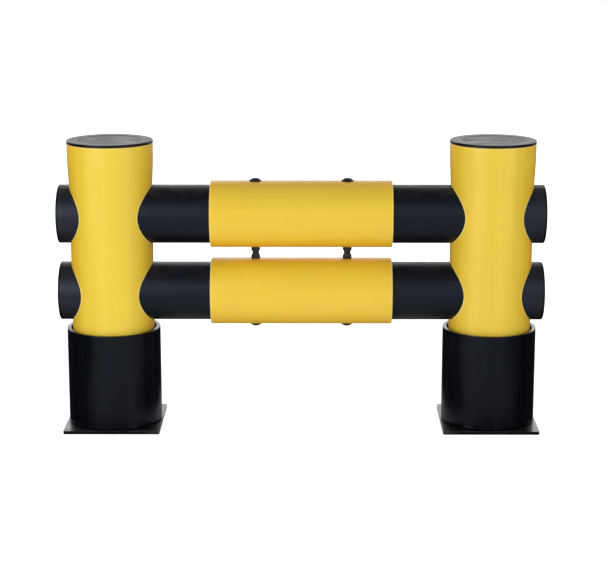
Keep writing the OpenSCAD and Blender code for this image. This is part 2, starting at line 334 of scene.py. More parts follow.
def settled_dust():
    """A thin veil of dust on what faces up."""

    def build(tree, get):
        level = remap(split(surface_normal(tree))[2], 0.55, 0.98, smooth=True)
        clouds = remap(noise(get("Vector"), get("Scale"), 5.0, 0.65), 0.35, 0.75)
        return [level * clouds]

    return effect_group("Settled dust", [("Scale", "Float", 30.0)], ["Mask"], build)


def moulded_skin():
    """The fine eroded surface that a mould gives: rounded grains with some uneven ground under them."""

    def build(tree, get):
        inputs = {"Vector": get("Vector"), "Scale": get("Scale")}
        grains = made(tree, "ShaderNodeTexVoronoi", inputs, "Distance", feature="SMOOTH_F1")
        ground = noise(get("Vector"), get("Scale") * 0.3, 3.0)
        return [grains * 0.6 + ground * 0.6]

    return effect_group("Moulded skin", [("Scale", "Float", 1400.0)], ["Height"], build)


def saw_cut():
    """Marks of the saw on faces square to the pipe's axis, and where those faces are."""

    def build(tree, get):
        along = vector_calc("DOT_PRODUCT", surface_normal(tree), get("Axis"), output="Value")
        ripple = noise(vector_calc("MULTIPLY", get("Vector"), get("Stretch")), 1.0)
        return [remap(abs(along), 0.6, 0.95), ripple]

    inputs = [("Axis", "Vector", UPRIGHT), ("Stretch", "Vector", (40.0, 900.0, 900.0))]
    return effect_group("Saw cut", inputs, ["Face", "Ripple"], build)


# Materials
def set_shader(shader, **sources):
    """Feed a shader's inputs. An underscore in a name stands for a space."""
    for name, source in sources.items():
        feed(shader.inputs[name.replace("_", " ")], source)


def empty_tree(owner):
    """The cleared node tree of a material or world."""
    owner.use_nodes = True
    owner.node_tree.nodes.clear()
    return owner.node_tree


def new_material(name, colour, roughness, specular=0.5, metallic=0.0):
    """A material with its own Principled shader. Returns it, its tree, shader and Object coordinates."""
    material = bpy.data.materials.new(name)
    material.diffuse_color = opaque(colour)
    tree = empty_tree(material)
    shader = add_node(tree, "ShaderNodeBsdfPrincipled")
    add_node(tree, "ShaderNodeOutputMaterial", {"Surface": Value(shader.outputs[0])})
    set_shader(shader, Base_Color=opaque(colour), Roughness=roughness, Specular_IOR_Level=specular,
               Metallic=metallic)
    return material, tree, shader, made(tree, "ShaderNodeTexCoord", output="Object")


def bump(height, depth, strength=1.0):
    """The normal of a Bump node whose height from 0 to 1 stands for depth in metres."""
    inputs = {"Strength": strength, "Distance": depth, "Height": height}
    return made(height.tree, "ShaderNodeBump", inputs, "Normal")


def covered(body, mask, amount, colour):
    """The body's colour with another laid over it where the mask is."""
    return mix_colour(mask * amount, body, opaque(colour))


def clouded(shade, colour, dark, light):
    """A colour that goes from dark times to light times itself as the shade goes from -1 to 1."""
    return mix_colour(remap(shade, -1.0, 1.0), opaque(scaled(colour, dark)), opaque(scaled(colour, light)))


def mottled(tree, place, scale):
    """The shade, from -1 to 1, of the mottling group."""
    return use_group(tree, mottling(), Vector=place, Scale=scale)["Value"]


def mask_of(tree, group, place, **values):
    """The mask of a shader group."""
    return use_group(tree, group, Vector=place, **values)["Mask"]


# The least specular level of a sawn face
CUT_SPECULAR = 0.5
# How far a wall turns away where the painted flank shade starts, and where it is full: 0 faces the eye
PAINTED_FLANK_ANGLES = (0.15, 0.7)
# Length over which a rail's painted end light comes in
PAINTED_END_LIGHT_FADE = 0.06
# Nearly all of a noise lies between these
NOISE_RANGE = (0.35, 0.65)
# No pipe is rougher than this
ROUGHEST = 0.95


def pipe_material(name, look, finish, axis):
    """Coloured-through pipe: die lines along its axis, a sawn face, rubbed edges, light scuffs.
    finish says which pipe it is. With "shallow", painted shade darkens its colour on the flanks, where the
    wall is seen at a shallow angle. With an end colour, painted light makes its outer end lighter. On
    yellow pipe the pale edges are partly cut plastic and partly a painted highlight."""
    colour, roughness, specular = finish["colour"], finish["roughness"], finish["specular"]
    material, tree, shader, place = new_material(name, colour, roughness, specular)
    set_shader(shader, Specular_Tint=opaque(finish["sheen"]))
    fine = tuple(look.line_slow if part else look.line_scale for part in axis)
    broad = tuple(look.band_slow if part else look.band_scale for part in axis)
    across = tuple(part * look.line_scale + (1 - part) * look.saw_scale for part in axis)
    grain = use_group(tree, drawn_grain(), Vector=place, Fine_Stretch=fine, Broad_Stretch=broad)
    cut = use_group(tree, saw_cut(), Vector=place, Axis=axis, Stretch=across)
    face = cut["Face"]
    if specular < CUT_SPECULAR:
        set_shader(shader, Specular_IOR_Level=face * (CUT_SPECULAR - specular) + specular)
    shade = mottled(tree, place, look.mottle_scale)
    start, full = finish["edge_reach"]
    edges = mask_of(tree, edges_worn_and_highlit(), place, Width=finish["edge_width"], From=start, Full=full,
                    Evenness=finish["evenness"])
    scuffs = mask_of(tree, handling_scuffs(), place)
    dust = mask_of(tree, settled_dust(), place)

    bands = remap(grain["Bands"], *NOISE_RANGE, -1.0, 1.0)
    body = opaque(colour)
    # Painted shade: the colour is darkened on the flanks, where the wall turns away from the eye
    if "shallow" in finish:
        facing = made(tree, "ShaderNodeLayerWeight", {"Blend": 0.5}, "Facing")
        body = mix_colour(remap(facing, *PAINTED_FLANK_ANGLES, smooth=True), body, opaque(finish["shallow"]))
    # Painted light: the rails' outer ends beyond the posts are painted lighter, for the light they catch
    # there
    if "handled" in finish:
        start = look.handled_from
        near_end = remap(abs(split(place)[0]), start, start + PAINTED_END_LIGHT_FADE, smooth=True)
        end_light_share = near_end * remap(shade, -1.0, 1.0, 0.7, 1.0)
        body = mix_colour(end_light_share, body, opaque(finish["handled"]))
    darker, lighter = (opaque([1.0 + change] * 3) for change in (-look.shade_change, look.shade_change))
    tone = remap(shade * 0.55 + bands * 0.45, -1.0, 1.0)
    body = mix_colour(1.0, body, mix_colour(tone, darker, lighter), "MULTIPLY")
    # On yellow pipe the pale edge colour is partly cut plastic and partly a painted highlight along the
    # edges
    body = covered(body, edges, look.edge_wear_and_highlight, finish["edge"])
    body = covered(body, scuffs, look.scuff_amount, finish["edge"])
    body = covered(body, dust, look.dust_amount, look.dust)

    rough = bands * look.gloss_change + roughness
    rough = calc("MAXIMUM", scuffs, dust) * 0.12 + rough
    rough = face * -finish["cut_gloss"] + rough

    sawn = cut["Ripple"] * face * (look.saw_depth / look.line_depth)
    waves = shade * (look.wave_depth / look.line_depth)
    height = grain["Lines"] * (1.0 - face) + sawn + waves - scuffs * 0.8
    set_shader(shader, Base_Color=body, Roughness=calc("MINIMUM", rough, ROUGHEST),
               Normal=bump(height, look.line_depth))
    return material


def moulding_material(name, look, centred, panel):
    """Moulded plastic: eroded skin, faint sinks over the ribs behind it, and a gate mark at its centre.
    Flow marks streak the recessed panel. centred(place) gives the two coordinates across the cap's
    face, from its centre. panel is the panel's radius."""
    roughness = look.moulding_roughness
    material, tree, shader, place = new_material(name, look.moulding, roughness, look.moulding_specular)
    across, up = centred(place)
    reach = calc("SQRT", across * across + up * up)
    skin = use_group(tree, moulded_skin(), Vector=place, Scale=look.skin_scale)["Height"]
    shade = mottled(tree, place, look.flow_scale)
    edges = mask_of(tree, edges_worn_and_highlit(), place, Width=look.edge_width, Evenness=0.4)
    scuffs = mask_of(tree, handling_scuffs(), place, Patch_Scale=16.0)
    dust = mask_of(tree, settled_dust(), place, Scale=45.0)

    inside = remap(reach, panel - 0.002, panel + 0.001, 1.0, 0.0)
    streak = remap(noise(join(across * 9.0, up * 60.0, 0.0), 1.0), *NOISE_RANGE, -1.0, 1.0) * inside
    from_rib = abs(calc("SINE", calc("ARCTAN2", up, across) * (look.rib_count / 2))) * reach
    sink = within(from_rib, 0.0, look.sink_reach) * remap(reach, look.hub, look.hub + 0.008)
    gate = remap(reach, look.gate, look.gate + 0.0008, 1.0, 0.0)

    body = clouded(shade, look.moulding, 0.8, 1.35)
    body = covered(body, edges, look.edge_wear_and_highlight * 0.6, look.black_edge)
    body = covered(body, scuffs, look.scuff_amount, look.black_edge)
    body = covered(body, dust, look.dust_amount, look.dust)
    rough = shade * 0.04 + roughness + inside * 0.05 + streak * look.flow_streaks + scuffs * 0.1
    height = skin * (look.skin_depth / look.sink_depth) - sink + gate * 2.0
    set_shader(shader, Base_Color=body, Roughness=rough, Normal=bump(height, look.sink_depth))
    return material


def plate_material(name, look):
    """Powder coat on steel plate: orange peel, and bare steel where an edge is rubbed through."""
    roughness = look.powder_roughness
    material, tree, shader, place = new_material(name, look.powder, roughness, look.powder_specular)
    shade = mottled(tree, place, 14.0)
    edges = mask_of(tree, edges_worn_and_highlit(), place, Width=look.edge_width * 0.7, Patch_Scale=35.0, Evenness=0.0)
    scuffs = mask_of(tree, handling_scuffs(), place, Patch_Scale=12.0)
    dust = mask_of(tree, settled_dust(), place, Scale=22.0)
    body = clouded(shade, look.powder, 0.85, 1.2)
    body = covered(body, scuffs, look.scuff_amount, look.black_edge)
    body = covered(body, dust, look.dust_amount * 0.4, look.dust)
    bare = edges * (look.edge_wear_and_highlight * 0.7)
    set_shader(
        shader, Base_Color=mix_colour(bare, body, opaque(look.bare_steel)), Metallic=bare,
        Roughness=shade * 0.04 + roughness + dust * 0.2,
        Normal=bump(noise(place, 420.0), depth=0.00007, strength=0.6),
    )
    return material


def oxide_material(name, look):
    """Black oxide on steel: a thin brownish skin, steel showing on the edges that a spanner touches."""
    roughness = 0.42
    material, tree, shader, place = new_material(name, look.oxide, roughness)
    shade = mottled(tree, place, 120.0)
    edges = mask_of(tree, edges_worn_and_highlit(), place, Width=0.0006, Patch_Scale=220.0, Evenness=0.2)
    bare = edges * (look.edge_wear_and_highlight * 0.8)
    body = mix_colour(bare, clouded(shade, look.oxide, 0.7, 1.5), opaque(look.bare_steel))
    set_shader(
        shader, Base_Color=body, Metallic=calc("MAXIMUM", bare, 0.35), Roughness=shade * 0.08 + roughness,
        Normal=bump(noise(place, 1600.0, detail=3.0), depth=0.00003, strength=0.7),
    )
    return material


def zinc_material(name, look):
    """Zinc plate on steel: bright, with fine drawing lines and cloudy passivation."""
    roughness = 0.32
    material, tree, shader, place = new_material(name, look.zinc, roughness, metallic=1.0)
    shade = mottled(tree, place, 60.0)
    lines = noise(vector_calc("MULTIPLY", place, (1500.0, 1500.0, 60.0)), 1.0)
    set_shader(shader, Base_Color=clouded(shade, look.zinc, 0.82, 1.08), Roughness=shade * 0.08 + roughness,
               Normal=bump(lines, depth=0.00002, strength=0.5))
    return material


def weld_material(name, look):
    """Weld metal under the powder coat: the coat is thin and uneven on it."""
    colour = scaled(look.powder, 1.6)
    material, tree, shader, place = new_material(name, colour, 0.4)
    shade = mottled(tree, place, 90.0)
    spatter = noise(place, 900.0, detail=4.0, roughness=0.65)
    set_shader(shader, Base_Color=clouded(shade, colour, 0.7, 1.5), Roughness=shade * 0.1 + 0.4,
               Normal=bump(spatter, depth=0.0001, strength=0.7))
    return material


def post_cap_centred(place):
    """Coordinates across a post cap, from its own centre: the two caps mirror each other in X."""
    x, y, _ = split(place)
    return abs(x) - post_x, y


def rail_cap_centred(place):
    """Coordinates across a rail cap, from its rail's axis: the two rails mirror each other in Z."""
    _, y, z = split(place)
    return y, abs(z - rail_mid_z) - rail_half_pitch


def dress(node, material):
    """Put one material in every slot of a frame node's object."""
    target = nodes[node]
    if not target.material_slots:
        target.data.materials.append(material)
    for slot in target.material_slots:
        slot.material = material


# Geometry Nodes: turned parts and weld beads, both a profile carried round an axis
def shape_tree(name, inputs, build):
    """A Geometry Nodes tree, built once, that makes its shape from the profile that it is given."""
    shape = ("Geometry", "Geometry")
    tree = node_group("GeometryNodeTree", name, [(*shape, None), *inputs], [shape], build)
    tree.is_modifier = True
    return tree


def named_value(tree, name):
    """A number stored on the points under a name."""
    return made(tree, "GeometryNodeInputNamedAttribute", {"Name": name}, data_type="FLOAT")


def sample_profile(profile, value, index, kind):
    """The value of the profile's point with this index."""
    node = add_node(profile.tree, "GeometryNodeSampleIndex", data_type=kind, domain="POINT")
    feed(node.inputs["Geometry"], profile)
    feed(next(s for s in node.inputs if s.name == "Value" and s.enabled), value)
    feed(node.inputs["Index"], index)
    return Value(next(s for s in node.outputs if s.enabled))


def carried_round(tree, profile, segments):
    """A grid with one column of the profile's points for each step round the axis.
    Returns it with each point's radius, height, angle and row in the profile."""
    count = made(tree, "GeometryNodeAttributeDomainSize", {"Geometry": profile}, "Point Count")
    grid = made(tree, "GeometryNodeMeshGrid", {"Vertices X": segments + 1.0, "Vertices Y": count}, "Mesh")
    index = made(tree, "GeometryNodeInputIndex")
    row = index % count
    angle = calc("FLOOR", index / count) * math.tau / segments
    place = made(tree, "GeometryNodeInputPosition")
    radius, _, height = split(sample_profile(profile, place, row, "FLOAT_VECTOR"))
    return grid, radius, height, angle, row


def round_surface(tree, grid, radius, height, angle):
    """The grid wrapped round the axis and closed, smooth but for its true edges."""
    place = join(radius * calc("COSINE", angle), radius * calc("SINE", angle), height)
    wrapped = made(tree, "GeometryNodeSetPosition", {"Geometry": grid, "Position": place})
    closed = made(tree, "GeometryNodeMergeByDistance", {"Geometry": wrapped, "Distance": MERGE_WITHIN})
    inputs = {"Geometry": closed, "Shade Smooth": True}
    smooth = made(tree, "GeometryNodeSetShadeSmooth", inputs, domain="FACE")
    bend = made(tree, "GeometryNodeInputMeshEdgeAngle", output="Unsigned Angle")
    inputs = {"Geometry": smooth, "Selection": bend > SHARP_BEND, "Shade Smooth": False}
    return made(tree, "GeometryNodeSetShadeSmooth", inputs, domain="EDGE")


def moved(geometry, x, y, z):
    """Geometry set down at another place."""
    inputs = {"Geometry": geometry, "Translation": join(x, y, z)}
    return made(geometry.tree, "GeometryNodeTransform", inputs)


def switch(condition, no, yes, kind="GEOMETRY"):
    """One of two things, as the condition says."""
    inputs = {"Switch": condition, "False": no, "True": yes}
    return made(condition.tree, "GeometryNodeSwitch", inputs, input_type=kind)


def joined(*pieces):
    """Several pieces of geometry as one."""
    node = add_node(pieces[0].tree, "GeometryNodeJoinGeometry")
    for piece in pieces:
        feed(node.inputs[0], piece)
    return Value(node.outputs[0])


def finished(geometry, material):
    """The end of each tree: real geometry with its material."""
    real = made(geometry.tree, "GeometryNodeRealizeInstances", {"Geometry": geometry})
    return made(geometry.tree, "GeometryNodeSetMaterial", {"Geometry": real, "Material": material})


def turned_part_tree():
    """Turns the profile that it is given, cuts its thread and hexagon, and sets the copies in rows."""

    def threaded_radius(get, profile, radius, height, angle, row):
        """The radius with the thread's grooves cut into the rows that are marked."""
        threaded = sample_profile(profile, named_value(profile.tree, "threaded"), row, "FLOAT")
        turns = height / get("Thread Pitch") - angle / math.tau
        groove = remap(calc("PINGPONG", turns, 0.5), 0.06, 0.44)
        return radius - groove * get("Thread Depth") * threaded

    def hexagon_radius(get, radius, angle):
        """The radius cut back to six flats, where flats are asked for."""
        sixth = math.tau / 6
        from_flat = (angle + sixth / 2) % sixth - sixth / 2
        flat = get("Across Flats") * 0.5 / calc("COSINE", from_flat)
        return switch(get("Across Flats") > 0.0, radius, calc("MINIMUM", radius, flat), "FLOAT")

    def row_of(tree, get, part, label, flip):
        """A row of copies along X, upside down where flip is half a turn."""
        first = get("Centre X") - get("Spacing") * (get("Copies") - 1.0) * 0.5
        line = made(
            tree, "GeometryNodeMeshLine",
            {"Count": get("Copies"), "Start Location": join(first, 0.0, get(label)),
             "Offset": join(get("Spacing"), 0.0, 0.0)},
        )
        chance = add_node(tree, "FunctionNodeRandomValue", {"Seed": get("Seed")}, data_type="FLOAT")
        feed(next(s for s in chance.inputs if s.name == "Max" and s.enabled), get("Turned By"))
        turned = Value(next(s for s in chance.outputs if s.enabled))
        inputs = {"Points": line, "Instance": part, "Rotation": join(flip, 0.0, turned)}
        return made(tree, "GeometryNodeInstanceOnPoints", inputs)

    def build(tree, get):
        profile = get("Geometry")
        grid, radius, height, angle, row = carried_round(tree, profile, get("Segments"))
        radius = threaded_radius(get, profile, radius, height, angle, row)
        radius = hexagon_radius(get, radius, angle)
        turned = round_surface(tree, grid, radius, height, angle)
        wide, deep = get("Neck Width"), get("Neck Length")
        neck = made(tree, "GeometryNodeMeshCube", {"Size": join(wide, wide, deep)}, "Mesh")
        neck = switch(deep > 0.0, None, moved(neck, 0.0, 0.0, deep * -0.5))
        part = joined(turned, neck)
        below = row_of(tree, get, part, "Lower Height", math.pi)
        above = row_of(tree, get, part, "Upper Height", 0.0)
        return [finished(joined(switch(get("Row Below"), None, below), above), get("Material"))]

    inputs = [("Segments", "Int", 48), ("Thread Pitch", "Float", 0.00175), ("Thread Depth", "Float", 0.0),
              ("Across Flats", "Float", 0.0), ("Neck Width", "Float", 0.0), ("Neck Length", "Float", 0.0),
              ("Copies", "Int", 1), ("Spacing", "Float", 0.0), ("Centre X", "Float", 0.0),
              ("Upper Height", "Float", 0.0), ("Row Below", "Bool", False), ("Lower Height", "Float", 0.0),
              ("Turned By", "Float", 0.0), ("Seed", "Int", 3), ("Material", "Material", None)]
    return shape_tree("Turned part", inputs, build)


def weld_bead_tree():
    """Carries a bead's section round an axis. The bead's crest is laid in overlapping ripples."""

    def build(tree, get):
        profile = get("Geometry")
        grid, radius, height, angle, row = carried_round(tree, profile, get("Segments"))
        crest = sample_profile(profile, named_value(tree, "crest"), row, "FLOAT")
        phase = angle / math.tau * get("Ripples") + crest * get("Ripple Skew")
        ripple = 1.0 - calc("POWER", calc("FRACT", phase), 2.0)
        uneven = noise(join(calc("COSINE", angle), calc("SINE", angle), 0.0), 9.0)
        swell = (ripple + uneven * 1.2) * get("Ripple Height") * crest
        bead = round_surface(tree, grid, radius + swell, height + swell, angle)
        return [finished(moved(bead, get("Centre X"), 0.0, get("Height")), get("Material"))]

    inputs = [("Segments", "Int", 240), ("Ripples", "Int", 40), ("Ripple Height", "Float", 0.0004),
              ("Ripple Skew", "Float", 0.6), ("Centre X", "Float", 0.0), ("Height", "Float", 0.0),
              ("Material", "Material", None)]
    return shape_tree("Weld bead", inputs, build)


def profile_object(name, points, mark):
    """A line of points (radius, height, mark) as an object. The mark is stored under its name."""
    mesh = bpy.data.meshes.new(name)
    mesh.from_pydata([(r, 0.0, z) for r, z, _ in points], [(i, i + 1) for i in range(len(points) - 1)], [])
    marks = mesh.attributes.new(mark, "FLOAT", "POINT")
    marks.data.foreach_set("value", [float(m) for _, _, m in points])
    piece = bpy.data.objects.new(name, mesh)
    bpy.context.collection.objects.link(piece)
    return piece


def run_tree(piece, tree, **values):
    """Apply a Geometry Nodes tree to an object and keep the result as its plain mesh."""
    modifier = piece.modifiers.new("shape", "NODES")
    modifier.node_group = tree
    for item in tree.interface.items_tree:
        key = item.name.replace(" ", "_")
        if item.item_type == "SOCKET" and item.in_out == "INPUT" and key in values:
            modifier[item.identifier] = values[key]
    piece.update_tag()
    bpy.context.view_layer.update()
    graph = bpy.context.evaluated_depsgraph_get()
    mesh = bpy.data.meshes.new_from_object(
        piece.evaluated_get(graph), preserve_all_data_layers=True, depsgraph=graph)
    piece.modifiers.clear()
    outline = piece.data
    piece.data = mesh
    bpy.data.meshes.remove(outline)
    mesh.name = piece.name
    if not mesh.polygons:
        raise RuntimeError(f"{piece.name} came out empty")


def seat(piece, slot, *replaced):
    """Let a finished piece ride on the frame and stand for the nodes that it shows, which are hidden. The
    slot is not used.
    """
    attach(piece, ROOT)
    if replaced:
        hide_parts(*replaced)


def turned_part(name, profile, slot, node, **values):
    """Turn a profile into a finished piece that stands for a node of the frame."""
    piece = profile_object(name, profile, "threaded")
    run_tree(piece, turned_part_tree(), **values)
    seat(piece, slot, node)


# Profiles, each a list of (radius, height, mark) from the axis outwards
def quarter_turn(steps):
    """Angles over a quarter turn, without its start."""
    return [math.pi / 2 * i / steps for i in range(1, steps + 1)]


def thread_run(radius, low, high, pitch):
    """Points close enough along a threaded stretch to show each tooth."""
    steps = max(2, round((high - low) / pitch * 8))
    return [(radius, low + (high - low) * i / steps, 1.0) for i in range(steps + 1)]


def bolt_profile(size, reach):
    """Half section of a domed bolt, seat at height 0, from the shank's end up to the crown."""
    shank, head, crown, rim = size.shank / 2, size.head / 2, size.crown / 2, size.rim
    lead = size.pitch * 0.6
    thread_top = size.thread_length - reach
    points = [(0.0, -reach, 0.0), (shank - lead, -reach, 0.0), (shank, lead - reach, 0.0)]
    points += thread_run(shank, lead - reach, thread_top, size.pitch)
    points += [(shank, thread_top + lead, 0.0), (shank, 0.0, 0.0), (head - rim / 2, 0.0, 0.0)]
    points += [
        (head - rim / 2 * (1 - math.sin(t)), rim / 2 * (1 - math.cos(t)), 0.0) for t in quarter_turn(4)
    ]
    points += [
        (head + (crown - head) * t / (math.pi / 2), rim + (size.head_height - rim) * math.sin(t), 0.0)
        for t in quarter_turn(20)
    ]
    return [*points, (0.0, size.head_height, 0.0)]


def nut_profile(flats, hexagon, collar, collar_radius, bore, lead):
    """Closed half section of a nut that stands on height 0: hexagon, then a collar that narrows."""
    corner = flats / 2 / math.cos(math.pi / 6)
    steps = 5
    parts = [i / steps for i in range(steps + 1)]
    points = [(bore, 0.0, 0.0)]
    points += [(corner - lead * (1 - t), lead / 2 * t, 0.0) for t in parts]
    points += [(corner - lead * t, hexagon - lead / 2 * (1 - t), 0.0) for t in parts]
    top = hexagon + collar
    if collar > 0:
        turn_in = collar / 4
        points += [(collar_radius, hexagon, 0.0), (collar_radius, top - turn_in, 0.0)]
        points += [
            (collar_radius - turn_in * (1 - math.cos(t)), top - turn_in * (1 - math.sin(t)), 0.0)
            for t in quarter_turn(steps)
        ]
    return [*points, (bore, top, 0.0), (bore, 0.0, 0.0)]


def washer_profile(outer, bore, thickness):
    """Closed half section of a washer with rolled edges."""
    edge = thickness * 0.2
    return [(bore, 0.0, 0.0), (outer - edge, 0.0, 0.0), (outer, edge, 0.0), (outer, thickness - edge, 0.0),
            (outer - edge, thickness, 0.0), (bore, thickness, 0.0), (bore, 0.0, 0.0)]


def rod_profile(radius, height, thread_length, pitch):
    """Half section of a rod that stands on height 0, threaded at both ends."""
    lead = pitch * 0.6
    points = [(0.0, 0.0, 0.0), (radius - lead, 0.0, 0.0), (radius, lead, 0.0)]
    points += thread_run(radius, lead, thread_length, pitch)
    points += thread_run(radius, height - thread_length, height - lead, pitch)
    return [*points, (radius, height - lead, 0.0), (radius - lead, height, 0.0), (0.0, height, 0.0)]


def bead_profile(wall, leg):
    """Closed section of a fillet bead between the plate and a wall that it stands outside of."""
    points = [(wall, 0.0, 0.0)]
    for t in (i / 8 for i in range(9)):
        bulge = leg * 0.12 * math.sin(math.pi * t)
        points.append((wall + leg * (1 - t) + bulge, leg * t + bulge, math.sin(math.pi * t)))
    return [*points, (wall, 0.0, 0.0)]


# Settings that a user would change
def hue(name, description, default):
    """A colour."""
    return bpy.props.FloatVectorProperty(
        name=name, description=description, default=default, subtype="COLOR", size=3, min=0.0, max=1.0
    )


def length(name, description, default):
    """A length, kept in metres."""
    return bpy.props.FloatProperty(
        name=name, description=description, default=default, min=0.0,
        unit="LENGTH", subtype="DISTANCE", precision=5,
    )


def share(name, description, default):
    """A share from 0 to 1."""
    return bpy.props.FloatProperty(
        name=name, description=description, default=default, min=0.0, max=1.0, subtype="FACTOR"
    )


def number(name, description, default):
    """A plain number from 0 up."""
    return bpy.props.FloatProperty(name=name, description=description, default=default, min=0.0)


def power(name, description, default):
    """A light's power, in watts."""
    return bpy.props.FloatProperty(
        name=name, description=description, default=default, min=0.0, unit="POWER"
    )


class GuardFinishes(bpy.types.PropertyGroup):
    """Colours and surface finish of the pipes, mouldings, plates and steel parts"""

    yellow: hue("Post yellow", "Colour of the posts", (0.8, 0.56, 0.042))
    # Painted shade on the posts' flanks, where the wall turns away from the eye
    yellow_shallow: hue("Post yellow, shallow", "Painted shade where posts are seen at a shallow angle", (0.78, 0.48, 0.024))
    # The sleeves are the posts' yellow plastic painted darker: painted shade
    sleeve_yellow: hue("Sleeve yellow", "Colour of the sleeves, painted darker as shade", (0.775, 0.515, 0.034))
    # Painted shade on the sleeves' flanks, where the wall turns away from the eye
    sleeve_shallow: hue("Sleeve yellow, shallow", "Painted shade where sleeves are seen at a shallow angle", (0.77, 0.45, 0.022))
    # The pale yellow edge colour is partly cut plastic and partly a painted highlight
    yellow_edge: hue("Yellow edge and highlight", "Colour where yellow pipe is cut or rubbed, and its painted edge highlight", (0.86, 0.74, 0.3))
    # The rings' black is painted darker than the rails' black of the same plastic: painted shade on the
    # rings' sides
    ring_black: hue("Ring black", "Colour of the base rings, painted darker as shade", (0.0009, 0.0015, 0.0031))
    rail_black: hue("Rail black", "Colour of the rails", (0.0034, 0.0046, 0.0078))
    # A lighter black painted on the rails' outer ends: painted light that they catch beside the posts
    handled_black: hue("Painted end light", "Rails' ends, painted lighter for the light they catch", (0.014, 0.0155, 0.022))
    black_sheen: hue("Black sheen", "Tint of reflections on black pipe", (0.72, 0.8, 1.0))
    black_edge: hue("Black edge", "Colour where black plastic is cut or rubbed", (0.05, 0.053, 0.06))
    moulding: hue("Moulding", "Colour of the moulded caps", (0.004, 0.0035, 0.0038))
    powder: hue("Powder coat", "Colour of the base plates' coat", (0.0035, 0.0035, 0.0048))
    oxide: hue("Black oxide", "Colour of the coupling bolts and nuts", (0.022, 0.019, 0.018))
    bare_steel: hue("Bare steel", "Colour of steel where its coat is worn off", (0.4, 0.39, 0.38))
    zinc: hue("Zinc", "Colour of the tie rods, washers and their nuts", (0.62, 0.63, 0.65))
    dust: hue("Dust", "Colour of dust on upward faces", (0.34, 0.33, 0.31))
    yellow_roughness: share("Yellow roughness", "Roughness of yellow pipe", 0.34)
    yellow_specular: share("Yellow specular", "Strength of reflection on yellow pipe", 0.54)
    rail_roughness: share("Rail roughness", "Roughness of the rails", 0.36)
    ring_roughness: share("Ring roughness", "Roughness of the base rings", 0.3)
    black_specular: share("Black specular", "Strength of reflection on black pipe", 0.34)
    moulding_roughness: share("Moulding roughness", "Roughness of the moulded caps", 0.4)
    moulding_specular: share("Moulding specular", "Strength of reflection on the moulded caps", 0.26)
    powder_roughness: share("Powder coat roughness", "Roughness of the base plates' coat", 0.18)
    powder_specular: share("Powder coat specular", "Strength of reflection on the base plates", 0.85)
    line_scale: number("Die lines", "Noise cells a metre across the die lines", 900.0)
    line_slow: number("Die lines, along", "Noise cells a metre along the die lines", 6.0)
    line_depth: length("Die line depth", "Depth of the lines that the die leaves", 0.00004)
    band_scale: number("Bands", "Dull and bright bands a metre across the pipe", 42.0)
    band_slow: number("Bands, along", "Noise cells a metre along the bands", 1.2)
    mottle_scale: number("Mottling", "Noise cells a metre of the cloudy shade", 7.0)
    wave_depth: length("Wave depth", "Depth of slow unevenness in a pipe's wall", 0.0003)
    saw_scale: number("Saw marks", "Noise cells a metre across the saw marks", 60.0)
    saw_depth: length("Saw mark depth", "Depth of the marks on sawn faces", 0.00012)
    skin_scale: number("Moulded skin", "Grains a metre of the mould's texture", 1300.0)
    skin_depth: length("Moulded skin depth", "Depth of the mould's texture", 0.00003)
    flow_scale: number("Flow marks", "Noise cells a metre of the moulding's shade", 16.0)
    flow_streaks: share("Flow streaks", "How much flow marks change a cap's roughness", 0.1)
    sink_depth: length("Sink depth", "Depth of the sinks over a cap's ribs", 0.00012)
    sink_reach: length("Sink reach", "How far a sink reaches to each side of its rib", 12 * MM)
    hub: length("Hub", "Radius of the hub behind a cap, where the sinks end", 12 * MM)
    gate: length("Gate mark", "Radius of the gate mark at a cap's centre", 2.2 * MM)
    post_cap_panel: length("Post cap panel", "Diameter of the recess in a post cap", 152 * MM)
    rail_cap_panel: length("Rail cap panel", "Diameter of the recess in a rail cap", 104 * MM)
    rib_count: bpy.props.IntProperty(
        name="Ribs", description="Number of ribs behind a cap, whose sinks show", default=8, min=1
    )
    edge_width: length("Edge width", "Width of the rubbed band along an edge", 0.0018)
    yellow_edge_width: length("Yellow edge and highlight width", "Deburred band along a yellow edge, with its painted highlight", 0.005)
    handled_from: length("Painted end light from", "How far from the middle a rail's painted end light starts", 0.48)
    # On yellow pipe this also sets the painted edge highlight
    edge_wear_and_highlight: share("Edge wear and highlight", "How much rubbed edges, and the painted highlight on yellow edges, show", 0.75)
    scuff_amount: share("Scuffs", "How much handling scuffs show", 0.22)
    dust_amount: share("Dust amount", "How much dust shows on upward faces", 0.06)
    shade_change: share("Shade change", "How much the shade of a pipe varies", 0.045)
    gloss_change: share("Gloss change", "How much the roughness of a pipe varies", 0.05)


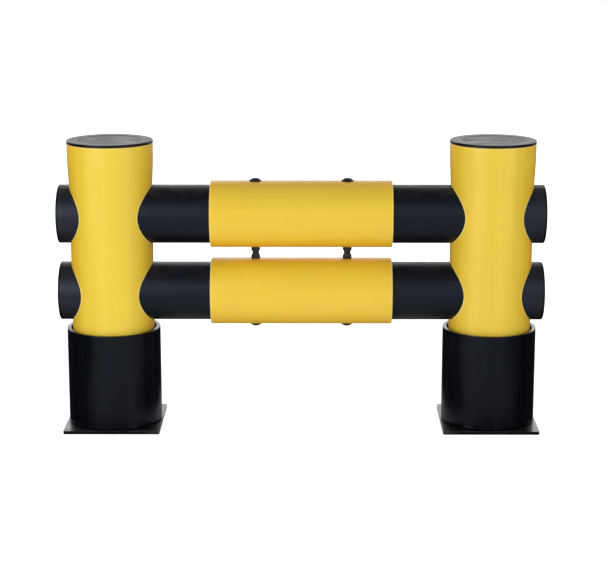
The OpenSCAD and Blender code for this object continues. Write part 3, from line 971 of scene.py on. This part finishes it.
class GuardCoupling(bpy.types.PropertyGroup):
    """Sizes of the bolts and lock nuts that hold the sleeves"""

    shank: length("Shank", "Diameter of the bolt's shank", 12.0 * MM)
    head: length("Head", "Diameter of the domed head", 30.6 * MM)
    head_height: length("Head height", "Height of the domed head", 7.4 * MM)
    crown: length("Crown", "Diameter of the small flat on the dome", 8.0 * MM)
    rim: length("Rim", "Height of the head's rounded edge", 1.2 * MM)
    neck: length("Neck width", "Width of the square neck", 12.0 * MM)
    neck_length: length("Neck length", "Length of the square neck", 6.5 * MM)
    pitch: length("Pitch", "Thread pitch of the bolts", 1.75 * MM)
    thread_depth: length("Thread depth", "Depth of the bolts' thread", 1.05 * MM)
    thread_length: length("Thread length", "Length of the bolts' thread", 36.0 * MM)
    nut_flats: length("Nut", "Width of the lock nut across its flats", 19.0 * MM)
    nut_hexagon: length("Nut hexagon", "Height of the lock nut's hexagon", 9.4 * MM)
    nut_collar: length("Nut collar", "Height of the lock nut's collar", 4.6 * MM)
    nut_collar_width: length("Collar width", "Diameter of the lock nut's collar", 17.4 * MM)
    nut_lead: length("Nut corners", "How far the nut's corners are turned back", 1.2 * MM)
    bolt_end: length("Bolt end", "How far a bolt stands out of its nut", 0.4 * MM)
    thread_gap: length("Thread gap", "Gap between a thread and its nut", 0.15 * MM)


class GuardTieRod(bpy.types.PropertyGroup):
    """Sizes of the tie rods, their washers and nuts, and the weld beads at their feet"""

    pitch: length("Pitch", "Thread pitch of the tie rods", 2.5 * MM)
    thread_depth: length("Thread depth", "Depth of the tie rods' thread", 1.5 * MM)
    thread_length: length("Thread length", "Length of thread at each end", 42.0 * MM)
    nut_flats: length("Nut", "Width of the tie rod's nut across its flats", 30.0 * MM)
    nut_lead: length("Nut corners", "How far the nut's corners are turned back", 2.0 * MM)
    bead_leg: length("Bead", "Leg of the weld bead round each boss", 4.0 * MM)
    ripple: length("Ripple", "Length of one ripple of a weld bead", 2.6 * MM)


class GuardStudio(bpy.types.PropertyGroup):
    """Camera, floor and lights"""

    camera_place: bpy.props.FloatVectorProperty(
        name="Camera place", description="Where the camera stands", default=(0.0236, -4.1457, 1.2778),
        size=3, subtype="TRANSLATION", unit="LENGTH",
    )
    camera_turn: bpy.props.FloatVectorProperty(
        name="Camera turn", description="The camera's rotation", default=(1.34917, 0.0, 0.0042),
        size=3, subtype="EULER", unit="ROTATION",
    )
    focal_length: bpy.props.FloatProperty(
        name="Focal length", description="Focal length in millimetres on a 36 mm wide sensor",
        default=104.21, min=10.0,
    )
    floor_reach: length("Floor", "How far the floor reaches from the centre", 6.0)
    floor_shade: share("Floor shade", "How light the floor is", 0.82)
    floor_lift: share("Floor lift", "Light added to the floor for the camera alone", 0.69)
    floor_reflection: share("Floor reflection", "How bright the floor's pool is in reflections", 0.75)
    pool_half: length("Pool", "Half the length of the lit pool along the guard", 1.0)
    lane: length("Lane", "How far from the middle the floor is lit under the rails", 0.3)
    floor_bounce: number("Floor bounce", "Light that the floor adds to matt surfaces above it", 0.3)
    ambient: number("Ambient", "Light from all around on matt surfaces", 0.43)
    front_glow: number("Front glow", "How bright reflections of the room in front are", 0.6)
    side_glow: number("Side glow", "How bright reflections of the room's sides are", 0.05)
    back_glow: number("Back glow", "How bright reflections of the backdrop are", 1.6)
    key_power: power("Key", "Power of the soft light at the front left", 38.0)
    fill_power: power("Fill", "Power of the soft light at the front right", 32.0)
    top_power: power("Top", "Power of the soft light above", 1.5)
    back_power: power("Back", "Power of the low soft light behind", 14.0)
    rim_power: power("Rim", "Power of each soft light behind and beside", 6.0)


# Operators, one for each piece or group of like pieces
def stored_material(name, make, *details):
    """The material with this name, made the first time that it is asked for."""
    return bpy.data.materials.get(name) or make(name, *details)


def yellow_pipe(name, look, axis, colour, shallow):
    """Yellow pipe whose axis lies along axis. Its edges are deburred and show pale, partly as a painted
    highlight along them.
    """
    # The shallow colour is painted shade on the pipe's flanks
    finish = {
        "colour": colour, "shallow": shallow, "edge": look.yellow_edge, "sheen": (1.0, 1.0, 1.0),
        "edge_width": look.yellow_edge_width, "edge_reach": (0.998, 0.93), "evenness": 1.0,
        "roughness": look.yellow_roughness, "specular": look.yellow_specular, "cut_gloss": -0.1,
    }
    return stored_material(name, pipe_material, look, finish, axis)


def black_pipe(name, look, axis, colour, roughness, **more):
    """Black pipe whose axis lies along axis. Its edges are rubbed here and there."""
    finish = {
        "colour": colour, "edge": look.black_edge, "sheen": look.black_sheen,
        "edge_width": look.edge_width, "edge_reach": (0.985, 0.8), "evenness": 0.7,
        "roughness": roughness, "specular": look.black_specular, "cut_gloss": 0.15, **more,
    }
    return stored_material(name, pipe_material, look, finish, axis)


class GUARD_OT_posts(bpy.types.Operator):
    """Give the two posts their yellow pipe finish"""

    bl_idname = "guard.posts"
    bl_label = "Posts"

    def execute(self, context):
        look = context.scene.guard_finishes
        material = yellow_pipe("Yellow pipe, upright", look, UPRIGHT, look.yellow, look.yellow_shallow)
        for side in SIDES:
            dress(f"post_{side}", material)
        return {"FINISHED"}


class GUARD_OT_sleeves(bpy.types.Operator):
    """Give the two sleeves their yellow pipe finish"""

    bl_idname = "guard.sleeves"
    bl_label = "Sleeves"

    def execute(self, context):
        look = context.scene.guard_finishes
        # The sleeves' darker yellow is painted shade
        material = yellow_pipe("Yellow pipe, level", look, LEVEL, look.sleeve_yellow, look.sleeve_shallow)
        for level in LEVELS:
            dress(f"sleeve_{level}", material)
        return {"FINISHED"}


class GUARD_OT_rails(bpy.types.Operator):
    """Give the four rails their black pipe finish"""

    bl_idname = "guard.rails"
    bl_label = "Rails"

    def execute(self, context):
        look = context.scene.guard_finishes
        # The rails' outer ends get painted light
        material = black_pipe("Black pipe, level", look, LEVEL, look.rail_black, look.rail_roughness,
                              handled=look.handled_black)
        for level in LEVELS:
            for side in SIDES:
                dress(f"rail_{level}_{side}", material)
        return {"FINISHED"}


class GUARD_OT_base_rings(bpy.types.Operator):
    """Give the two base rings their black pipe finish"""

    bl_idname = "guard.base_rings"
    bl_label = "Base rings"

    def execute(self, context):
        look = context.scene.guard_finishes
        # The darker ring black is painted shade
        material = black_pipe("Black pipe, upright", look, UPRIGHT, look.ring_black, look.ring_roughness)
        for side in SIDES:
            dress(f"base_ring_{side}", material)
        return {"FINISHED"}


class GUARD_OT_caps(bpy.types.Operator):
    """Give the post caps and the rail caps their moulded finish"""

    bl_idname = "guard.caps"
    bl_label = "Caps"

    def execute(self, context):
        look = context.scene.guard_finishes
        post_cap = stored_material(
            "Moulding, post cap", moulding_material, look, post_cap_centred, look.post_cap_panel / 2)
        rail_cap = stored_material(
            "Moulding, rail cap", moulding_material, look, rail_cap_centred, look.rail_cap_panel / 2)
        for side in SIDES:
            dress(f"post_cap_{side}", post_cap)
            for level in LEVELS:
                dress(f"rail_cap_{level}_{side}", rail_cap)
        return {"FINISHED"}


class GUARD_OT_base_steel(bpy.types.Operator):
    """Give the base plates, spigots and bosses their powder coat"""

    bl_idname = "guard.base_steel"
    bl_label = "Base steel"

    def execute(self, context):
        material = stored_material("Powder coat", plate_material, context.scene.guard_finishes)
        for side in SIDES:
            for piece in ("base_plate", "post_spigot", "rod_boss"):
                dress(f"{piece}_{side}", material)
        return {"FINISHED"}


class GUARD_OT_weld_beads(bpy.types.Operator):
    """Lay the weld bead between each boss and its base plate"""

    bl_idname = "guard.weld_beads"
    bl_label = "Weld beads"

    def execute(self, context):
        rod = context.scene.guard_tie_rod
        material = stored_material("Coated weld", weld_material, context.scene.guard_finishes)
        for side in SIDES:
            low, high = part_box(f"rod_boss_{side}")
            wall = (high.x - low.x) / 2
            ripples = round(math.tau * wall / rod.ripple)
            bead = profile_object(f"weld_bead_{side}", bead_profile(wall, rod.bead_leg), "crest")
            run_tree(bead, weld_bead_tree(), Segments=ripples * 6, Ripples=ripples,
                     Centre_X=(low.x + high.x) / 2, Height=plate_top, Material=material)
            seat(bead, "plate_steel")
        return {"FINISHED"}


class GUARD_OT_coupling_bolts(bpy.types.Operator):
    """Make the four domed bolts with their square necks and threads"""

    bl_idname = "guard.coupling_bolts"
    bl_label = "Coupling bolts"

    def execute(self, context):
        size = context.scene.guard_coupling
        low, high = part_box("coupling_bolts")
        nuts_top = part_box("coupling_nuts")[1].z
        upper_seat = high.z - size.head_height
        collar_end = nuts_top - size.nut_hexagon - size.nut_collar
        if not rail_mid_z < collar_end < nuts_top < upper_seat:
            raise RuntimeError("the coupling bolts and nuts are not where they were")
        turned_part(
            "coupling_bolts_threaded", bolt_profile(size, upper_seat - collar_end + size.bolt_end),
            "black_fastener", "coupling_bolts",
            Segments=48, Thread_Pitch=size.pitch, Thread_Depth=size.thread_depth, Neck_Width=size.neck,
            Neck_Length=size.neck_length, Copies=2, Spacing=high.x - low.x - size.head,
            Upper_Height=upper_seat, Row_Below=True, Lower_Height=low.z + size.head_height,
            Material=stored_material("Black oxide", oxide_material, context.scene.guard_finishes),
        )
        return {"FINISHED"}


class GUARD_OT_coupling_nuts(bpy.types.Operator):
    """Make the four lock nuts with their turned corners and narrowing collars"""

    bl_idname = "guard.coupling_nuts"
    bl_label = "Coupling nuts"

    def execute(self, context):
        size = context.scene.guard_coupling
        low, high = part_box("coupling_nuts")
        bolts_low, bolts_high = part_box("coupling_bolts")
        profile = nut_profile(size.nut_flats, size.nut_hexagon, size.nut_collar, size.nut_collar_width / 2,
                              size.shank / 2 + size.thread_gap, size.nut_lead)
        turned_part(
            "coupling_nuts_turned", profile, "black_fastener", "coupling_nuts",
            Segments=96, Across_Flats=size.nut_flats, Copies=2,
            Spacing=bolts_high.x - bolts_low.x - size.head, Upper_Height=low.z, Row_Below=True,
            Lower_Height=high.z, Turned_By=math.radians(50),
            Material=stored_material("Black oxide", oxide_material, context.scene.guard_finishes),
        )
        return {"FINISHED"}


class GUARD_OT_tie_rods(bpy.types.Operator):
    """Make the tie rods with their threads, and their washers and nuts"""

    bl_idname = "guard.tie_rods"
    bl_label = "Tie rods"

    def execute(self, context):
        size = context.scene.guard_tie_rod
        material = stored_material("Zinc plate", zinc_material, context.scene.guard_finishes)
        for side in SIDES:
            low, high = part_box(f"tie_rod_{side}")
            radius = (high.x - low.x) / 2
            profile = rod_profile(radius, high.z - low.z, size.thread_length, size.pitch)
            turned_part(
                f"tie_rod_{side}_threaded", profile, "zinc_steel", f"tie_rod_{side}",
                Segments=40, Thread_Pitch=size.pitch, Thread_Depth=size.thread_depth,
                Centre_X=(low.x + high.x) / 2, Upper_Height=low.z, Material=material,
            )
        pair = {"Segments": 96, "Copies": 2, "Spacing": 2 * post_x, "Material": material}
        bore = radius + context.scene.guard_coupling.thread_gap
        low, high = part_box("tie_rod_washers")
        profile = washer_profile((high.x - low.x) / 2 - post_x, bore, high.z - low.z)
        turned_part("tie_rod_washers_turned", profile, "zinc_steel", "tie_rod_washers",
                    Upper_Height=low.z, **pair)
        low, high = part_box("tie_rod_nuts")
        profile = nut_profile(size.nut_flats, high.z - low.z, 0.0, 0.0, bore, size.nut_lead)
        turned_part("tie_rod_nuts_turned", profile, "zinc_steel", "tie_rod_nuts",
                    Across_Flats=size.nut_flats, Upper_Height=low.z, **pair)
        return {"FINISHED"}


# Studio. Between the two numbers of a pair, a light or its reflection changes over smoothly. On the
# floor they are metres from its centre. In the room they are parts of the direction, from -1 to 1.
POOL_AHEAD = (-0.34, -0.12)
POOL_FADE = 0.3
LANE_AHEAD = (0.15, 0.4)
LANE_ASIDE = (0.04, 0.09)
SLEEVES_AHEAD = (0.3, 0.45)
SLEEVES_ASIDE = (0.22, 0.4)
LIFT_ROUND = (0.7, 1.6)
ROOM_FRONT = (-0.9, -0.3)
ROOM_BACK = (0.35, 0.8)
BACKDROP_UP = (0.5, 0.8)
# How light the floor outside the pool is in reflections, as a share of its shade
DARK_FLOOR = 0.03


def soft_light(name, place, width, height, watts, reflected=True):
    """A rectangular soft light that the camera doesn't see, nor a glossy face if it isn't reflected."""
    data = bpy.data.lights.new(name, "AREA")
    data.shape = "RECTANGLE"
    data.size, data.size_y = width, height
    data.energy = watts
    light = bpy.data.objects.new(name, data)
    bpy.context.collection.objects.link(light)
    light.location = place
    light.rotation_euler = (LIT_POINT - Vector(place)).to_track_quat("-Z", "Y").to_euler()
    light.visible_camera = False
    light.visible_glossy = reflected


def floor_material(studio):
    """Matt pale floor. Some light is added for the camera alone, so that it meets the white background.
    Reflections see a pool before the guard and a lane under the rails, and a dark room elsewhere.
    Matt surfaces get more light from the pool and from the floor under the sleeves."""
    material = bpy.data.materials.new("Studio floor")
    tree = empty_tree(material)
    ray = outputs(add_node(tree, "ShaderNodeLightPath"))
    place = made(tree, "ShaderNodeTexCoord", output="Object")
    across, ahead, _ = split(place)
    aside = abs(across)
    before = within(ahead, *POOL_AHEAD)
    lane = within(ahead, *LANE_AHEAD) * within(abs(aside - studio.lane), *LANE_ASIDE)
    pool = calc("MAXIMUM", before, lane) * within(aside, studio.pool_half - POOL_FADE, studio.pool_half)
    shade = studio.floor_shade
    level = remap(pool, 0.0, 1.0, shade * DARK_FLOOR, shade * studio.floor_reflection)
    colour = mix_colour(ray["Is Glossy Ray"], opaque([shade] * 3), level)
    matt = made(tree, "ShaderNodeBsdfDiffuse", {"Color": colour})
    away = vector_calc("LENGTH", place, output="Value")
    seen = ray["Is Camera Ray"] * remap(away, *LIFT_ROUND, studio.floor_lift, 1.0, smooth=True)
    under_sleeves = within(abs(ahead), *SLEEVES_AHEAD) * within(aside, *SLEEVES_ASIDE)
    bounce = ray["Is Diffuse Ray"] * ((pool + under_sleeves) * studio.floor_bounce)
    glow = made(tree, "ShaderNodeEmission", {"Strength": seen + bounce})
    both = add_node(tree, "ShaderNodeAddShader")
    feed(both.inputs[0], matt)
    feed(both.inputs[1], glow)
    add_node(tree, "ShaderNodeOutputMaterial", {"Surface": Value(both.outputs[0])})
    return material


def build_world(scene, studio):
    """White for the camera and behind glass, the room's glow for reflections, a plain level elsewhere."""
    scene.world = bpy.data.worlds.new("Studio")
    tree = empty_tree(scene.world)
    ray = outputs(add_node(tree, "ShaderNodeLightPath"))
    _, ahead, up = split(made(tree, "ShaderNodeTexCoord", output="Generated"))
    front = remap(ahead, *ROOM_FRONT, studio.front_glow, studio.side_glow, smooth=True)
    backdrop = remap(ahead, *ROOM_BACK, smooth=True) * within(up, *BACKDROP_UP)
    glow = backdrop * studio.back_glow + front
    seen = calc("MAXIMUM", ray["Is Camera Ray"], ray["Is Transmission Ray"])
    rest = 1.0 - calc("MAXIMUM", seen, ray["Is Glossy Ray"])
    strength = ray["Is Glossy Ray"] * glow + seen + rest * studio.ambient
    inputs = {"Color": opaque((1.0, 1.0, 1.0)), "Strength": strength}
    background = made(tree, "ShaderNodeBackground", inputs)
    add_node(tree, "ShaderNodeOutputWorld", {"Surface": background})


def build_camera(scene, studio):
    """The camera, where the settings put it."""
    data = bpy.data.cameras.new("Camera")
    data.sensor_width = 36.0
    data.lens = studio.focal_length
    data.clip_end = 60.0
    camera = bpy.data.objects.new("Camera", data)
    bpy.context.collection.objects.link(camera)
    camera.location = studio.camera_place
    camera.rotation_euler = studio.camera_turn
    scene.camera = camera


def build_floor(studio):
    """A square floor round the origin."""
    reach = studio.floor_reach
    mesh = bpy.data.meshes.new("Floor")
    corners = [(x * reach, y * reach, 0.0) for x, y in ((-1, -1), (1, -1), (1, 1), (-1, 1))]
    mesh.from_pydata(corners, [], [(0, 1, 2, 3)])
    floor = bpy.data.objects.new("Floor", mesh)
    bpy.context.collection.objects.link(floor)
    mesh.materials.append(floor_material(studio))


class GUARD_OT_studio(bpy.types.Operator):
    """Set up the camera, the floor, the lights and the white background"""

    bl_idname = "guard.studio"
    bl_label = "Studio"

    def execute(self, context):
        scene = context.scene
        studio = scene.guard_studio
        build_camera(scene, studio)
        build_floor(studio)
        soft_light("Key", (-1.8, -2.2, 1.2), 1.2, 1.6, studio.key_power)
        soft_light("Fill", (2.4, -2.5, 1.3), 1.2, 1.6, studio.fill_power)
        soft_light("Top", (0.0, 0.3, 2.6), 2.4, 1.6, studio.top_power, reflected=False)
        soft_light("Back", (0.0, 2.6, 1.1), 2.0, 1.2, studio.back_power, reflected=False)
        for side, x in zip(SIDES, (-2.4, 2.4)):
            soft_light(f"Rim, {side}", (x, 1.8, 1.3), 1.2, 1.6, studio.rim_power, reflected=False)
        build_world(scene, studio)
        scene.view_settings.view_transform = "Standard"
        return {"FINISHED"}


OPERATORS = (
    GUARD_OT_posts,
    GUARD_OT_sleeves,
    GUARD_OT_rails,
    GUARD_OT_base_rings,
    GUARD_OT_caps,
    GUARD_OT_base_steel,
    GUARD_OT_weld_beads,
    GUARD_OT_coupling_bolts,
    GUARD_OT_coupling_nuts,
    GUARD_OT_tie_rods,
    GUARD_OT_studio,
)

SETTINGS = {
    "guard_finishes": GuardFinishes,
    "guard_coupling": GuardCoupling,
    "guard_tie_rod": GuardTieRod,
    "guard_studio": GuardStudio,
}


class GUARD_PT_panel(bpy.types.Panel):
    """The guard rail's finishes, sizes and steps"""

    bl_idname = "GUARD_PT_panel"
    bl_label = "Guard rail"
    bl_space_type = "VIEW_3D"
    bl_region_type = "UI"
    bl_category = "Guard rail"

    def draw(self, context):
        for operator in OPERATORS:
            self.layout.operator(operator.bl_idname)
        for name in SETTINGS:
            settings = getattr(context.scene, name)
            box = self.layout.box()
            for key in settings.__annotations__:
                box.prop(settings, key)


def register():
    for kind in (*SETTINGS.values(), *OPERATORS, GUARD_PT_panel):
        bpy.utils.register_class(kind)
    for name, kind in SETTINGS.items():
        setattr(bpy.types.Scene, name, bpy.props.PointerProperty(type=kind))


def unregister():
    for name in SETTINGS:
        delattr(bpy.types.Scene, name)
    for kind in reversed((*SETTINGS.values(), *OPERATORS, GUARD_PT_panel)):
        bpy.utils.unregister_class(kind)


def main():
    register()
    for operator in OPERATORS:
        group, name = operator.bl_idname.split(".")
        getattr(getattr(bpy.ops, group), name)()


if __name__ == "__main__":
    main()
